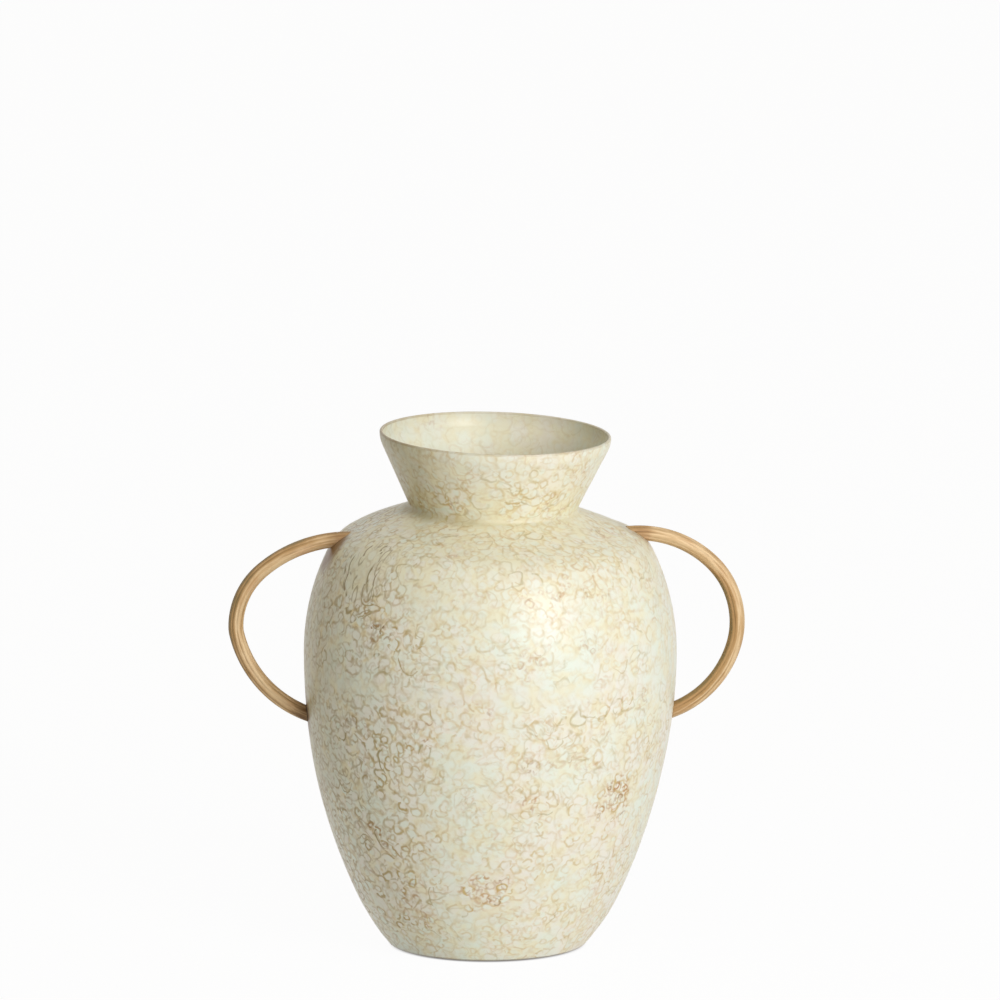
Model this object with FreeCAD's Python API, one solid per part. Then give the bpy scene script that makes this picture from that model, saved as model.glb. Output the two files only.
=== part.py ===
# Two-handled urn vase of spun sheet metal, standing on its foot.
# Millimetres, +Z up, origin on the table under the centre of the foot, handles along X.

import FreeCAD, Part
import math
import os

V = FreeCAD.Vector

# Body outline: arcs that run into each other, drawn from the belly up and from the belly down
belly_radius = 109.6
belly_height = 174.2
side_arc_radius = 134.5
side_turn = 26.0
shoulder_bend_radius = 25.0
shoulder_turn = 36.3
crown_arc_radius = 400.0
flank_arc_radius = 340.0
flank_turn = 25.0
foot_arc_radius = 131.0
foot_edge_radius = 2.5

# Sheet and fits
wall = 1.2
fit_gap = 0.05
overrun = 20.0

# Seam at the belly: the bowl's edge is stepped inward and laps inside the shoulder shell
lap_height = 9.0
lap_gap = 0.1
step_height = 3.0

# Neck collar
neck_radius = 49.5
collar_height = 45.1
collar_flare = 25.5
lip_arc_radius = 20.0
hem_radius = 1.1
hem_depth = 3.5
collar_foot_fillet = 3.0
collar_foot_edge = 0.4
spigot_height = 5.0
spigot_gap = 0.1

# Foot
foot_flange_width = 8.0
base_plate_thickness = 1.2
base_plate_gap = 0.3
pad_radius = 7.0
pad_standout = 0.8
pad_gap = 0.8
pad_count = 4
first_pad_angle = 45.0

# Handles
handle_standoff = 38.4
handle_rise = 17.0
rod_radius = 4.5
reed_depth = 0.3
reed_count = 10
handle_upper_bend = 45.0
handle_upper_bend_turn = 42.0
handle_top_bend = 65.0
handle_lower_bend = 48.0
handle_lower_bend_turn = 25.0
handle_bottom_bend = 65.0
handle_end_turn = 110.0

# Handle screws, with their washers and seals
screw_radius = 1.45
screw_engagement = 2.8
screw_end_gap = 0.3
thread_gap = 0.05
wall_hole_gap = 0.35
washer_hole_gap = 0.15
washer_radius = 4.5
washer_thickness = 0.8
seal_radius = 5.0
seal_thickness = 1.6
head_radius = 2.8
head_height = 1.8
head_round = 0.7
recess_length = 3.2
recess_width = 0.7
recess_depth = 1.0

# Heights that follow from the sizes above
foot_z = pad_standout
belly_z = foot_z + belly_height


def polar(centre, radius, degrees):
    """The point at an angle on a circle in the plane of the outline (x is the radius, z the height)."""
    turn = math.radians(degrees)
    return V(centre.x + radius * math.cos(turn), 0, centre.z + radius * math.sin(turn))


def arc_edge(centre, radius, first, last):
    """An arc about a centre in the outline's plane, from one angle to another."""
    middle = polar(centre, radius, (first + last) / 2)
    return Part.Arc(polar(centre, radius, first), middle, polar(centre, radius, last)).toShape()


def line(start, end):
    return Part.makeLine(start, end)


def angle_of(centre, point):
    """The angle of a point about a centre, in degrees."""
    return math.degrees(math.atan2(point.z - centre.z, point.x - centre.x))


# Centres of the body's arcs, each one on the line through the joint with the arc before it
side_centre = V(belly_radius - side_arc_radius, 0, belly_z)
bend_centre = polar(side_centre, side_arc_radius - shoulder_bend_radius, side_turn)
crown_turn = side_turn + shoulder_turn
crown_centre = polar(bend_centre, shoulder_bend_radius - crown_arc_radius, crown_turn)
flank_centre = V(belly_radius - flank_arc_radius, 0, belly_z)
foot_arc_centre = polar(flank_centre, flank_arc_radius - foot_arc_radius, -flank_turn)

# The foot's rounded edge touches the floor of the foot and the arc above it
edge_centre_z = foot_z + foot_edge_radius
edge_drop = foot_arc_centre.z - edge_centre_z
foot_turn = math.degrees(math.asin(edge_drop / (foot_arc_radius - foot_edge_radius)))
edge_centre = polar(foot_arc_centre, foot_arc_radius - foot_edge_radius, -foot_turn)


def crown_point(radius, offset):
    """The point of the crown at a distance from the axis, offset outward from the body's surface."""
    reach = crown_arc_radius + offset
    sideways = radius - crown_centre.x
    return V(radius, 0, crown_centre.z + math.sqrt(reach ** 2 - sideways ** 2))


neck_foot = crown_point(neck_radius, 0)
rim_z = neck_foot.z + collar_height
wall_across = wall / math.cos(math.radians(collar_flare))


def upper_edges(offset, end):
    """The upper outline from the belly to a point on the crown, at an offset inward from the surface."""
    return [
        arc_edge(side_centre, side_arc_radius - offset, 0, side_turn),
        arc_edge(bend_centre, shoulder_bend_radius - offset, side_turn, crown_turn),
        arc_edge(crown_centre, crown_arc_radius - offset, crown_turn, angle_of(crown_centre, end)),
    ]


def lower_edges(offset, first_turn):
    """The lower outline from an angle below the belly to the foot's floor, at an offset inward."""
    return [
        arc_edge(flank_centre, flank_arc_radius - offset, -first_turn, -flank_turn),
        arc_edge(foot_arc_centre, foot_arc_radius - offset, -flank_turn, -foot_turn),
        arc_edge(edge_centre, foot_edge_radius - offset, -foot_turn, -90),
    ]


def revolved(edges):
    """The solid that a closed outline sweeps round the axis."""
    face = Part.Face(Part.Wire(Part.__sortEdges__(edges)))
    return face.revolve(V(0, 0, 0), V(0, 0, 1), 360)


def filled_body(offset):
    """The whole body as if it were solid, with its surface moved inward by an offset."""
    top = crown_point(neck_radius, -offset)
    foot = V(edge_centre.x, 0, foot_z + offset)
    edges = upper_edges(offset, top) + lower_edges(offset, 0)
    edges.append(line(foot, V(0, 0, foot.z)))
    edges.append(line(V(0, 0, foot.z), V(0, 0, top.z)))
    edges.append(line(V(0, 0, top.z), top))
    return revolved(edges)


def make_shoulder_shell():
    """Upper spun shell, from the belly seam to a short upright spigot that centres the collar."""
    spigot_radius = neck_radius - wall_across - spigot_gap
    outer_top = crown_point(spigot_radius, 0)
    inner_top = crown_point(spigot_radius - wall, -wall)
    spigot_z = outer_top.z + spigot_height
    edges = upper_edges(0, outer_top) + upper_edges(wall, inner_top)
    edges.append(line(outer_top, V(spigot_radius, 0, spigot_z)))
    edges.append(line(V(spigot_radius, 0, spigot_z), V(spigot_radius - wall, 0, spigot_z)))
    edges.append(line(V(spigot_radius - wall, 0, spigot_z), inner_top))
    edges.append(line(V(belly_radius, 0, belly_z), V(belly_radius - wall, 0, belly_z)))
    return revolved(edges)


def make_bowl_shell():
    """Lower spun shell: foot flange, flank, and the stepped edge that laps inside the shoulder shell."""
    tongue = wall + lap_gap
    tongue_radius = side_arc_radius - tongue
    lap_turn = math.degrees(lap_height / side_arc_radius)
    step_turn = math.degrees(step_height / flank_arc_radius)
    flange_radius = edge_centre.x - foot_flange_width
    edges = lower_edges(0, 0) + lower_edges(wall, step_turn)
    edges.append(line(V(belly_radius, 0, belly_z), V(belly_radius - tongue, 0, belly_z)))
    edges.append(arc_edge(side_centre, tongue_radius, 0, lap_turn))
    tongue_top = polar(side_centre, tongue_radius, lap_turn)
    edges.append(line(tongue_top, polar(side_centre, tongue_radius - wall, lap_turn)))
    edges.append(arc_edge(side_centre, tongue_radius - wall, 0, lap_turn))
    step_top = V(belly_radius - tongue - wall, 0, belly_z)
    edges.append(line(step_top, polar(flank_centre, flank_arc_radius - wall, -step_turn)))
    edges.append(line(V(edge_centre.x, 0, foot_z), V(flange_radius, 0, foot_z)))
    edges.append(line(V(flange_radius, 0, foot_z), V(flange_radius, 0, foot_z + wall)))
    edges.append(line(V(flange_radius, 0, foot_z + wall), V(edge_centre.x, 0, foot_z + wall)))
    return revolved(edges)


def make_neck_collar():
    """Flared collar with a hemmed lip, and a small turned-out foot that sits on the crown."""
    flare = math.radians(collar_flare)
    up = V(math.sin(flare), 0, math.cos(flare))
    inward = V(-math.cos(flare), 0, math.sin(flare))
    lip_z = rim_z - hem_radius
    cone_height = lip_z - lip_arc_radius * math.sin(flare) - neck_foot.z
    cone_top = neck_foot + up * (cone_height / math.cos(flare))
    lip_centre = cone_top + inward * lip_arc_radius
    mouth_radius = lip_centre.x + lip_arc_radius

    # foot fillet between the cone and a line just above the crown
    slope = math.radians(angle_of(crown_centre, neck_foot) - 90)
    out = V(math.cos(slope), 0, math.sin(slope))
    corner = neck_foot + up * collar_foot_edge
    half = math.acos(up.dot(out)) / 2
    reach = collar_foot_fillet / math.tan(half)
    bisector = (up + out).normalize()
    fillet_centre = corner + bisector * (collar_foot_fillet / math.sin(half))
    fillet_top = corner + up * reach
    fillet_end = corner + out * reach
    fillet_middle = fillet_centre - bisector * collar_foot_fillet

    # the foot's underside follows the crown with the fit gap
    outer_low = crown_point(fillet_end.x, fit_gap)
    inner_low = crown_point(neck_radius - wall_across, fit_gap)
    sole = arc_edge(
        crown_centre,
        crown_arc_radius + fit_gap,
        angle_of(crown_centre, outer_low),
        angle_of(crown_centre, inner_low),
    )

    # hem: the lip is folded inward over itself
    hem_inner = mouth_radius - 2 * hem_radius
    hem_low = V(hem_inner, 0, lip_z - hem_depth)
    inner_arc_radius = lip_arc_radius - wall
    join_turn = math.degrees(math.asin((hem_depth + wall) / inner_arc_radius))
    hem_join = polar(lip_centre, inner_arc_radius, -join_turn)
    inner_cone_top = cone_top + inward * wall
    edges = [
        line(outer_low, fillet_end),
        Part.Arc(fillet_end, fillet_middle, fillet_top).toShape(),
        line(fillet_top, cone_top),
        arc_edge(lip_centre, lip_arc_radius, -collar_flare, 0),
        arc_edge(V(mouth_radius - hem_radius, 0, lip_z), hem_radius, 0, 180),
        line(V(hem_inner, 0, lip_z), hem_low),
        line(hem_low, hem_join),
        arc_edge(lip_centre, inner_arc_radius, -join_turn, -collar_flare),
        line(inner_cone_top, inner_low),
        sole,
    ]
    return revolved(edges)


def make_base_plate():
    """Disc that closes the foot, laid on the foot flange from inside."""
    plate_z = foot_z + wall
    return Part.makeCylinder(edge_centre.x - base_plate_gap, base_plate_thickness, V(0, 0, plate_z))


def make_pad(index):
    """Felt disc stuck under the base plate, just inside the foot flange."""
    pad_reach = edge_centre.x - foot_flange_width - pad_gap - pad_radius
    turn = math.radians(first_pad_angle + index * 360 / pad_count)
    place = V(pad_reach * math.cos(turn), pad_reach * math.sin(turn), 0)
    return Part.makeCylinder(pad_radius, foot_z + wall, place)


def reeded_section(centre):
    """Cross-section of the handle rod: a ring of shallow rounded reeds, square to the X-Z plane."""
    groove = rod_radius - reed_depth
    step = 360 / reed_count
    edges = []
    for index in range(reed_count):
        corners = []
        for share, radius in ((0, groove), (0.5, rod_radius), (1, groove)):
            turn = math.radians((index + share) * step)
            corners.append(centre + V(radius * math.cos(turn), radius * math.sin(turn), 0))
        edges.append(Part.Arc(*corners).toShape())
    return Part.Face(Part.Wire(edges))


# Centre line of the handle: two bends up from its outermost point, two bends down from it
handle_outermost = V(belly_radius + handle_standoff, 0, belly_z + handle_rise)
upper_bend_centre = handle_outermost - V(handle_upper_bend, 0, 0)
top_bend_centre = polar(upper_bend_centre, handle_upper_bend - handle_top_bend, handle_upper_bend_turn)
lower_bend_centre = handle_outermost - V(handle_lower_bend, 0, 0)
bottom_bend_centre = polar(lower_bend_centre, handle_lower_bend - handle_bottom_bend, -handle_lower_bend_turn)


def swept_rod(bends):
    """The rod's section turned about each bend's centre in turn, away from the outermost point."""
    section = reeded_section(handle_outermost)
    pieces = []
    for centre, turn in bends:
        pieces.append(section.revolve(centre, V(0, -1, 0), turn))
        section = section.copy()
        section.rotate(centre, V(0, -1, 0), turn)
    return pieces


def handle_joint(centre, radius, first, last):
    """Where the rod's centre line meets the wall, and the wall's outward normal there."""
    path = arc_edge(centre, radius, first, last)
    outline = Part.Wire(Part.__sortEdges__(upper_edges(0, neck_foot) + lower_edges(0, 0)))
    point = path.distToShape(outline)[1][0][0]
    arcs = [
        (side_centre, side_arc_radius),
        (bend_centre, shoulder_bend_radius),
        (crown_centre, crown_arc_radius),
        (flank_centre, flank_arc_radius),
        (foot_arc_centre, foot_arc_radius),
    ]
    nearest = min(arcs, key=lambda arc: abs(point.distanceToPoint(arc[0]) - arc[1]))
    return point, (point - nearest[0]).normalize()


def drill(joint, radius, depth):
    """A round cutter along a joint's normal, from well inside the vessel to a depth outside the wall."""
    point, normal = joint
    return Part.makeCylinder(radius, overrun + depth, point - normal * overrun, normal)


def make_right_handle(joints):
    """Ear handle: the reeded rod, cut to the wall at both ends and drilled for its screws."""
    up = swept_rod([
        (upper_bend_centre, handle_upper_bend_turn),
        (top_bend_centre, handle_end_turn - handle_upper_bend_turn),
    ])
    down = swept_rod([
        (lower_bend_centre, -handle_lower_bend_turn),
        (bottom_bend_centre, handle_lower_bend_turn - handle_end_turn),
    ])
    rod = up[0].multiFuse(up[1:] + down)
    rod = rod.cut(filled_body(-fit_gap))
    for joint in joints:
        rod = rod.cut(drill(joint, screw_radius + thread_gap, screw_engagement + screw_end_gap))
    return rod


def make_seal(joint):
    """Rubber washer whose outer face follows the inner wall and whose inner face is flat."""
    point, normal = joint
    depth = wall + seal_thickness
    disc = Part.makeCylinder(seal_radius, depth, point - normal * depth, normal)
    disc = disc.common(filled_body(wall + fit_gap))
    return disc.cut(drill(joint, screw_radius + thread_gap, 0))


def make_washer(joint):
    """Flat steel washer on the seal."""
    point, normal = joint
    depth = wall + seal_thickness + fit_gap + washer_thickness
    disc = Part.makeCylinder(washer_radius, washer_thickness, point - normal * depth, normal)
    return disc.cut(drill(joint, screw_radius + washer_hole_gap, 0))


def make_screw(joint):
    """Round-headed screw, driven from inside the vessel through the wall into the handle."""
    point, normal = joint
    seat = wall + seal_thickness + washer_thickness + 2 * fit_gap
    under_head = point - normal * seat
    top = under_head - normal * head_height
    head = Part.makeCylinder(head_radius, head_height, top, normal)
    top_edges = [edge for edge in head.Edges if edge.CenterOfMass.distanceToPoint(top) < head_round]
    head = head.makeFillet(head_round, top_edges[:1])
    shank = Part.makeCylinder(screw_radius, seat + screw_engagement, under_head, normal)
    screw = head.fuse(shank)
    along_screw = FreeCAD.Placement(top, FreeCAD.Rotation(V(0, 0, 1), normal))
    for turn in (0, 90):
        slot = Part.makeBox(recess_length, recess_width, recess_depth + overrun)
        slot.translate(V(-recess_length / 2, -recess_width / 2, -overrun))
        slot.rotate(V(0, 0, 0), V(0, 0, 1), turn)
        slot.Placement = along_screw.multiply(slot.Placement)
        screw = screw.cut(slot)
    return screw


def mirrored(shape):
    """The same piece on the other side of the vase."""
    return shape.mirror(V(0, 0, 0), V(1, 0, 0))


def save(name, shape):
    solid = shape.Solids[0]
    print(name, "solids", len(shape.Solids), "valid", solid.isValid(), "volume", round(solid.Volume, 1))
    solid.exportStep("parts/" + name + ".step")


os.makedirs("parts", exist_ok=True)

upper_joint = handle_joint(top_bend_centre, handle_top_bend, handle_upper_bend_turn, handle_end_turn)
lower_joint = handle_joint(bottom_bend_centre, handle_bottom_bend, -handle_lower_bend_turn, -handle_end_turn)
joints = {"upper": upper_joint, "lower": lower_joint}

shoulder_shell = make_shoulder_shell()
bowl_shell = make_bowl_shell()
for side in (1, -1):
    for height, joint in joints.items():
        point, normal = joint
        placed = (V(side * point.x, 0, point.z), V(side * normal.x, 0, normal.z))
        hole = drill(placed, screw_radius + wall_hole_gap, overrun)
        if height == "upper":
            shoulder_shell = shoulder_shell.cut(hole)
        else:
            bowl_shell = bowl_shell.cut(hole)

save("shoulder_shell", shoulder_shell)
save("bowl_shell", bowl_shell)
save("neck_collar", make_neck_collar())
save("base_plate", make_base_plate())

for index in range(pad_count):
    save("felt_pad_" + str(index + 1), make_pad(index))

right_handle = make_right_handle(joints.values())
save("right_handle", right_handle)
save("left_handle", mirrored(right_handle))

for height, joint in joints.items():
    print(height, "joint", joint[0], "normal", joint[1])
    pieces = {"screw": make_screw(joint), "washer": make_washer(joint), "seal": make_seal(joint)}
    for kind, shape in pieces.items():
        save("right_" + height + "_" + kind, shape)
        save("left_" + height + "_" + kind, mirrored(shape))

print("rim height", rim_z, "neck foot", neck_foot, "foot radius", edge_centre.x)
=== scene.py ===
# Two-handled urn vase: spun body and flared collar in scribbled cream lacquer, ribbed antique gold handles.
# Metres, +Z up, handles along X, origin on the table under the foot.

import math

import bmesh
import bpy
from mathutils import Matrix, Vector


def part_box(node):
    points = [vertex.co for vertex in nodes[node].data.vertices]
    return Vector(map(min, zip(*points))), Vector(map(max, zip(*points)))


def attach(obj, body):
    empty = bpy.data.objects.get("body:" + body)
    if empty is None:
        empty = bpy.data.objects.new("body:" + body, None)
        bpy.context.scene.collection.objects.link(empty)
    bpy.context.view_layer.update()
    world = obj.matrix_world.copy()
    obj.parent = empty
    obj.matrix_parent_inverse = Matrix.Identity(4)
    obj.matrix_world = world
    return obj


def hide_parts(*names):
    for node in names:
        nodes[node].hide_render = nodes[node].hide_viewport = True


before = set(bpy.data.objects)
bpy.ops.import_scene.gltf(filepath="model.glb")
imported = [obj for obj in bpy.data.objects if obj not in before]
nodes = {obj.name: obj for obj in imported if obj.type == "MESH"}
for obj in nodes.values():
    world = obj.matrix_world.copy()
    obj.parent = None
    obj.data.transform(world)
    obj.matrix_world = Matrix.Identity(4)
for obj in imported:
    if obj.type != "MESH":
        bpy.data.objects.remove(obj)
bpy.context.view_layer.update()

MM = 0.001

# Outline of the body, taken at its outer surface
foot_z = 0.8 * MM
belly_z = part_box("shoulder_shell")[0].z
belly_radius = 109.5 * MM
side_arc_radius = 134.5 * MM
side_turn = 26.0
shoulder_bend_radius = 25.0 * MM
shoulder_turn = 36.3
crown_arc_radius = 400.0 * MM
flank_arc_radius = 340.0 * MM
flank_turn = 25.0
foot_arc_radius = 131.0 * MM
foot_edge_radius = 2.5 * MM
crisp_angle = math.radians(38)
wall = 1.2 * MM
lap_height = 9.0 * MM
lap_gap = 0.1 * MM
step_height = 3.0 * MM
foot_flange_width = 8.0 * MM
lathe_steps = 192
wall_unevenness = 0.3 * MM

# Straight pieces that stand for each arc of the sections
side_steps = 34
bend_steps = 16
crown_steps = 24
flank_steps = 64
foot_steps = 24
edge_steps = 10
lap_steps = 4
cone_steps = 30
fillet_steps = 8
lip_steps = 10
hem_steps = 12
first_bend_steps = 30
second_bend_steps = 50
pad_edge_steps = 6

# Collar
neck_radius = 49.0 * MM
collar_rise = 44.25 * MM
collar_flare = 25.55
lip_arc_radius = 16.0 * MM
hem_radius = 0.9 * MM
hem_depth = 6.5 * MM
collar_foot_fillet = 2.2 * MM
collar_foot_spread = 4.0 * MM
collar_foot_edge = 0.35 * MM
spigot_height = 5.0 * MM
spigot_gap = 0.1 * MM

# Hand-made leaning: the crown and collar tip to the right, and each part stands a little off the axis
lean_angle = 1.85
lean_starts = 228.0 * MM
lean_ends = 262.0 * MM
lean_pivot_z = 240.0 * MM
body_shift = 1.2 * MM
body_shift_starts = 80.0 * MM
body_shift_ends = 170.0 * MM
foot_shift = 0.4 * MM
foot_shift_starts = 6.0 * MM
foot_shift_ends = 20.0 * MM
neck_shift = 0.9 * MM
neck_dip = 1.5 * MM
neck_shift_starts = 80.0 * MM
neck_shift_ends = 53.0 * MM

# Place of each handle's screw in the wall, where the wall keeps its true form
upper_joint = Vector((87.7 * MM, 243.6 * MM))
joint_flat = 9.0 * MM
joint_reach = 32.0 * MM

# Handles: each rod's centre line is four bends, two up and two down from its outermost point. The rods were
# bent by hand, so the two differ a little, and so does their thickness at the top, side and bottom.
rod_radius = 4.5 * MM
reed_count = 9
reed_depth = 0.4 * MM
handle_end_turn = 124.0
points_per_reed = 12.0
rod_steps = 260
lump_rate = 9.0
lump_depth = 0.08
wander_rate = 7.0
wander_reach = 0.9
wear_rate = 5.0
reed_apart = 3.7
shallowest_reed = 0.35
pad_rounding = 0.3
pad_steps = 72
pad_unevenness = 0.25 * MM
left_handle_line = {
    "outermost": Vector((147.7 * MM, 191.2 * MM)),
    "up": ((43.4 * MM, 49.9), (76.6 * MM, handle_end_turn)),
    "down": ((21.1 * MM, 13.1), (68.2 * MM, handle_end_turn)),
    "thickness": (1.13, 1.01, 0.97),
    "seed": 4.0,
}
right_handle_line = {
    "outermost": Vector((146.7 * MM, 190.2 * MM)),
    "up": ((50.5 * MM, 45.6), (61.9 * MM, handle_end_turn)),
    "down": ((47.9 * MM, 15.1), (58.9 * MM, handle_end_turn)),
    "thickness": (0.88, 1.04, 0.94),
    "seed": 7.0,
}


def at(x, y, z):
    """A place given in millimetres."""
    return Vector((x * MM, y * MM, z * MM))


def polar(centre, radius, degrees):
    """The point at an angle on a circle in the plane of the outline: (radius, height)."""
    turn = math.radians(degrees)
    return Vector((centre[0] + radius * math.cos(turn), centre[1] + radius * math.sin(turn)))


def arc(centre, radius, first, last, steps):
    """Points of an arc, both ends included."""
    return [polar(centre, radius, first + (last - first) * i / steps) for i in range(steps + 1)]


def angle_of(centre, point):
    return math.degrees(math.atan2(point[1] - centre[1], point[0] - centre[0]))


# Centres of the body's arcs, each on the line through the joint with the arc before it
side_centre = Vector((belly_radius - side_arc_radius, belly_z))
bend_centre = polar(side_centre, side_arc_radius - shoulder_bend_radius, side_turn)
crown_turn = side_turn + shoulder_turn
crown_centre = polar(bend_centre, shoulder_bend_radius - crown_arc_radius, crown_turn)
flank_centre = Vector((belly_radius - flank_arc_radius, belly_z))
foot_arc_centre = polar(flank_centre, flank_arc_radius - foot_arc_radius, -flank_turn)
edge_drop = foot_arc_centre[1] - foot_z - foot_edge_radius
foot_turn = math.degrees(math.asin(edge_drop / (foot_arc_radius - foot_edge_radius)))
edge_centre = polar(foot_arc_centre, foot_arc_radius - foot_edge_radius, -foot_turn)


def crown_point(radius, offset):
    """The crown's point at a distance from the axis, offset outward from its surface."""
    reach = crown_arc_radius + offset
    return Vector((radius, crown_centre[1] + math.sqrt(reach ** 2 - (radius - crown_centre[0]) ** 2)))


def upper_arcs(offset, last):
    """The outline from the belly to a point on the crown, moved inward by an offset."""
    points = arc(side_centre, side_arc_radius - offset, 0, side_turn, side_steps)
    points += arc(bend_centre, shoulder_bend_radius - offset, side_turn, crown_turn, bend_steps)[1:]
    last_turn = angle_of(crown_centre, last)
    points += arc(crown_centre, crown_arc_radius - offset, crown_turn, last_turn, crown_steps)[1:]
    return points


def lower_arcs(offset, first_turn):
    """The outline from an angle below the belly to the floor of the foot, moved inward by an offset."""
    points = arc(flank_centre, flank_arc_radius - offset, -first_turn, -flank_turn, flank_steps)
    points += arc(foot_arc_centre, foot_arc_radius - offset, -flank_turn, -foot_turn, foot_steps)[1:]
    points += arc(edge_centre, foot_edge_radius - offset, -foot_turn, -90, edge_steps)[1:]
    return points


def shoulder_outline():
    """Closed section of the upper shell, with the short spigot that centres the collar."""
    across = wall / math.cos(math.radians(collar_flare))
    spigot_radius = neck_radius - across - spigot_gap
    outer_top = crown_point(spigot_radius, 0)
    inner_top = crown_point(spigot_radius - wall, -wall)
    spigot_z = outer_top[1] + spigot_height
    points = upper_arcs(0, outer_top)
    points += [Vector((spigot_radius, spigot_z)), Vector((spigot_radius - wall, spigot_z))]
    points += reversed(upper_arcs(wall, inner_top))
    return points


def bowl_outline():
    """Closed section of the lower shell, from the stepped lap inside the seam to the foot's flange."""
    tongue = wall + lap_gap
    lap_turn = math.degrees(lap_height / side_arc_radius)
    step_turn = math.degrees(step_height / flank_arc_radius)
    flange_radius = edge_centre[0] - foot_flange_width
    points = arc(side_centre, side_arc_radius - tongue - wall, 0, lap_turn, lap_steps)
    points += reversed(arc(side_centre, side_arc_radius - tongue, 0, lap_turn, lap_steps))
    points += lower_arcs(0, 0)
    points += [Vector((flange_radius, foot_z)), Vector((flange_radius, foot_z + wall))]
    points += reversed(lower_arcs(wall, step_turn))
    return points


def collar_outline():
    """Closed section of the flared collar: spread foot, cone, upright lip and inward hem."""
    flare = math.radians(collar_flare)
    up = Vector((math.sin(flare), math.cos(flare)))
    inward = Vector((-math.cos(flare), math.sin(flare)))
    neck_foot = crown_point(neck_radius, 0)
    lip_z = neck_foot[1] + collar_rise - hem_radius
    cone_length = (lip_z - lip_arc_radius * math.sin(flare) - neck_foot[1]) / math.cos(flare)
    cone_top = neck_foot + up * cone_length
    lip_centre = cone_top + inward * lip_arc_radius
    mouth_radius = lip_centre[0] + lip_arc_radius
    slope = math.radians(angle_of(crown_centre, neck_foot) - 90)
    out = Vector((math.cos(slope), math.sin(slope)))
    corner = neck_foot + up * collar_foot_edge
    half = math.acos(up.dot(out)) / 2
    reach = collar_foot_fillet / math.tan(half)
    fillet_centre = corner + (up + out).normalized() * (collar_foot_fillet / math.sin(half))
    spread = crown_point(neck_radius + reach + collar_foot_spread, 0)
    fillet_top = angle_of(fillet_centre, corner + up * reach)
    fillet_end = angle_of(fillet_centre, corner + out * reach)
    points = [crown_point(neck_radius - wall, 0), spread]
    points += arc(fillet_centre, collar_foot_fillet, fillet_end % 360, fillet_top % 360, fillet_steps)
    points += [corner + up * (reach + (cone_length - reach) * i / cone_steps) for i in range(1, cone_steps)]
    points += arc(lip_centre, lip_arc_radius, -collar_flare, 0, lip_steps)
    points += arc(Vector((mouth_radius - hem_radius, lip_z)), hem_radius, 0, 180, hem_steps)[1:]
    hem_inner = mouth_radius - 2 * hem_radius
    points.append(Vector((hem_inner, lip_z - hem_depth * 0.6)))
    join_turn = math.degrees(math.asin((hem_depth + wall) / (lip_arc_radius - wall)))
    points += arc(lip_centre, lip_arc_radius - wall, -join_turn, -collar_flare, fillet_steps)
    inner_foot = neck_foot + inward * wall
    inner_top = cone_top + inward * wall
    points += [inner_top.lerp(inner_foot, i / cone_steps) for i in range(1, cone_steps + 1)]
    return points


class Bench:
    """Adds nodes to one tree and joins them. An input is a value or another node's output."""

    def __init__(self, tree):
        self.tree = tree

    def node(self, kind, inputs=None, **settings):
        made = self.tree.nodes.new(kind)
        for name, value in settings.items():
            setattr(made, name, value)
        for key, value in (inputs or {}).items():
            socket = made.inputs[key]
            if isinstance(value, bpy.types.NodeSocket):
                self.tree.links.new(value, socket)
            else:
                socket.default_value = value
        return made

    def out(self, kind, inputs=None, **settings):
        """The first output of a new node."""
        return self.node(kind, inputs, **settings).outputs[0]

    def geo(self, kind, inputs=None, **settings):
        """The first output of a new geometry node."""
        return self.out("GeometryNode" + kind, inputs, **settings)

    def link(self, output, socket):
        self.tree.links.new(output, socket)

    def math(self, operation, first, second=0.0, third=0.0, clamp=False):
        inputs = {0: first, 1: second, 2: third}
        return self.out("ShaderNodeMath", inputs, operation=operation, use_clamp=clamp)

    def times(self, first, second):
        return self.math("MULTIPLY", first, second)

    def plus(self, first, second):
        return self.math("ADD", first, second)

    def minus(self, first, second):
        return self.math("SUBTRACT", first, second)

    def most(self, first, second):
        return self.math("MAXIMUM", first, second)

    def scaled(self, value, scale, shift):
        return self.math("MULTIPLY_ADD", value, scale, shift)

    def point(self, x=0.0, y=0.0, z=0.0):
        return self.out("ShaderNodeCombineXYZ", {0: x, 1: y, 2: z})

    def axes(self, vector):
        return self.node("ShaderNodeSeparateXYZ", {0: vector}).outputs

    def gap(self, place, middle):
        """How far a place is from a middle."""
        return self.vector("LENGTH", self.vector("SUBTRACT", place, middle))

    def vector(self, operation, first, second=(0, 0, 0)):
        made = self.node("ShaderNodeVectorMath", {0: first, 1: second}, operation=operation)
        return made.outputs["Value" if operation in ("DOT_PRODUCT", "LENGTH") else "Vector"]

    def stretch(self, vector, amount):
        return self.out("ShaderNodeVectorMath", {0: vector, "Scale": amount}, operation="SCALE")

    def fade(self, value, low, high, to_low=0.0, to_high=1.0):
        """A smooth step of a value between two limits."""
        inputs = {"Value": value, "From Min": low, "From Max": high, "To Min": to_low, "To Max": to_high}
        return self.node("ShaderNodeMapRange", inputs, interpolation_type="SMOOTHSTEP").outputs["Result"]

    def mix(self, share, first, second):
        """A mix of two colours, which are the node's inputs 6 and 7."""
        return self.node("ShaderNodeMix", {0: share, 6: first, 7: second}, data_type="RGBA").outputs[2]

    def noise(self, vector, scale, detail=2.0, roughness=0.5, distortion=0.0):
        inputs = {"Vector": vector, "Scale": scale, "Detail": detail}
        inputs.update({"Roughness": roughness, "Distortion": distortion})
        return self.node("ShaderNodeTexNoise", inputs)

    def tone(self, *inputs):
        """The grey value of a noise."""
        return self.noise(*inputs).outputs[0]


def paint(red, green, blue):
    """A colour given in display values from 0 to 255."""
    linear = []
    for value in (red, green, blue):
        share = value / 255
        linear.append(share / 12.92 if share <= 0.04045 else ((share + 0.055) / 1.055) ** 2.4)
    return (*linear, 1.0)


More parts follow.
